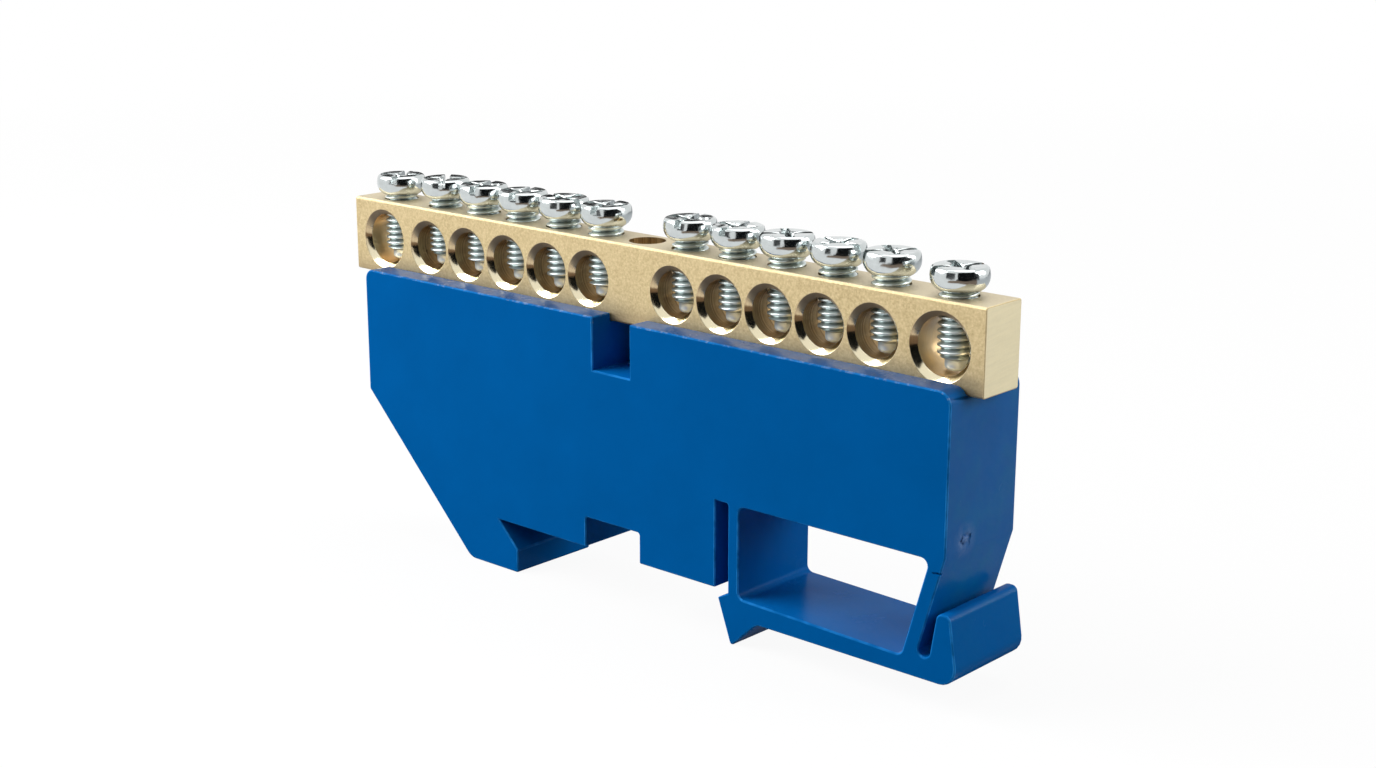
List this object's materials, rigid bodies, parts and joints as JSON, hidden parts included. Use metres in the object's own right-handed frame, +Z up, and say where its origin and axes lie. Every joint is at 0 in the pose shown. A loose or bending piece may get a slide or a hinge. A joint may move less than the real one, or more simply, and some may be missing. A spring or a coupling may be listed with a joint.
{
  "type": "neutral terminal bar",
  "caption": "Brass neutral terminal bar with wire holes and clamp screws, on a blue moulded insulator that snaps on a 35 mm rail.",
  "frame": {"origin": "on the surface under the insulator's two feet, below the middle of the bar and of the rail", "axes": "+X along the bar from the fixed hook to the latch, +Y through its thickness to the back, +Z up to the screw heads"},
  "size_m": [0.0928, 0.012, 0.0442],
  "materials": {
    "blue_insulator": "satin moulded plastic",
    "brass": "drawn brass with a satin grain",
    "zinc_steel": "bright zinc plated"
  },
  "bodies": {
    "base": {"insulator": "blue_insulator", "terminal_bar": "brass", "bar_fixing_screw": "zinc_steel"},
    "clamp_screw_01": {"clamp_screw_01": "zinc_steel"},
    "clamp_screw_02": {"clamp_screw_02": "zinc_steel"},
    "clamp_screw_03": {"clamp_screw_03": "zinc_steel"},
    "clamp_screw_04": {"clamp_screw_04": "zinc_steel"},
    "clamp_screw_05": {"clamp_screw_05": "zinc_steel"},
    "clamp_screw_06": {"clamp_screw_06": "zinc_steel"},
    "clamp_screw_07": {"clamp_screw_07": "zinc_steel"},
    "clamp_screw_08": {"clamp_screw_08": "zinc_steel"},
    "clamp_screw_09": {"clamp_screw_09": "zinc_steel"},
    "clamp_screw_10": {"clamp_screw_10": "zinc_steel"},
    "clamp_screw_11": {"clamp_screw_11": "zinc_steel"},
    "clamp_screw_12": {"clamp_screw_12": "zinc_steel"}
  },
  "joints": [
    {"name": "clamp_screw_01_travel", "type": "slide", "parent": "base", "child": "clamp_screw_01", "axis": [0, 0, 1], "range_m": [-0.0001, 0.0052]},
    {"name": "clamp_screw_02_travel", "type": "slide", "parent": "base", "child": "clamp_screw_02", "axis": [0, 0, 1], "range_m": [-0.0001, 0.0044]},
    {"name": "clamp_screw_03_travel", "type": "slide", "parent": "base", "child": "clamp_screw_03", "axis": [0, 0, 1], "range_m": [-0.0001, 0.0044]},
    {"name": "clamp_screw_04_travel", "type": "slide", "parent": "base", "child": "clamp_screw_04", "axis": [0, 0, 1], "range_m": [-0.0001, 0.0044]},
    {"name": "clamp_screw_05_travel", "type": "slide", "parent": "base", "child": "clamp_screw_05", "axis": [0, 0, 1], "range_m": [-0.0001, 0.0044]},
    {"name": "clamp_screw_06_travel", "type": "slide", "parent": "base", "child": "clamp_screw_06", "axis": [0, 0, 1], "range_m": [-0.0001, 0.0044]},
    {"name": "clamp_screw_07_travel", "type": "slide", "parent": "base", "child": "clamp_screw_07", "axis": [0, 0, 1], "range_m": [-0.0001, 0.0044]},
    {"name": "clamp_screw_08_travel", "type": "slide", "parent": "base", "child": "clamp_screw_08", "axis": [0, 0, 1], "range_m": [-0.0001, 0.0044]},
    {"name": "clamp_screw_09_travel", "type": "slide", "parent": "base", "child": "clamp_screw_09", "axis": [0, 0, 1], "range_m": [-0.0001, 0.0044]},
    {"name": "clamp_screw_10_travel", "type": "slide", "parent": "base", "child": "clamp_screw_10", "axis": [0, 0, 1], "range_m": [-0.0001, 0.0044]},
    {"name": "clamp_screw_11_travel", "type": "slide", "parent": "base", "child": "clamp_screw_11", "axis": [0, 0, 1], "range_m": [-0.0001, 0.0044]},
    {"name": "clamp_screw_12_travel", "type": "slide", "parent": "base", "child": "clamp_screw_12", "axis": [0, 0, 1], "range_m": [-0.0001, 0.0052]}
  ]
}
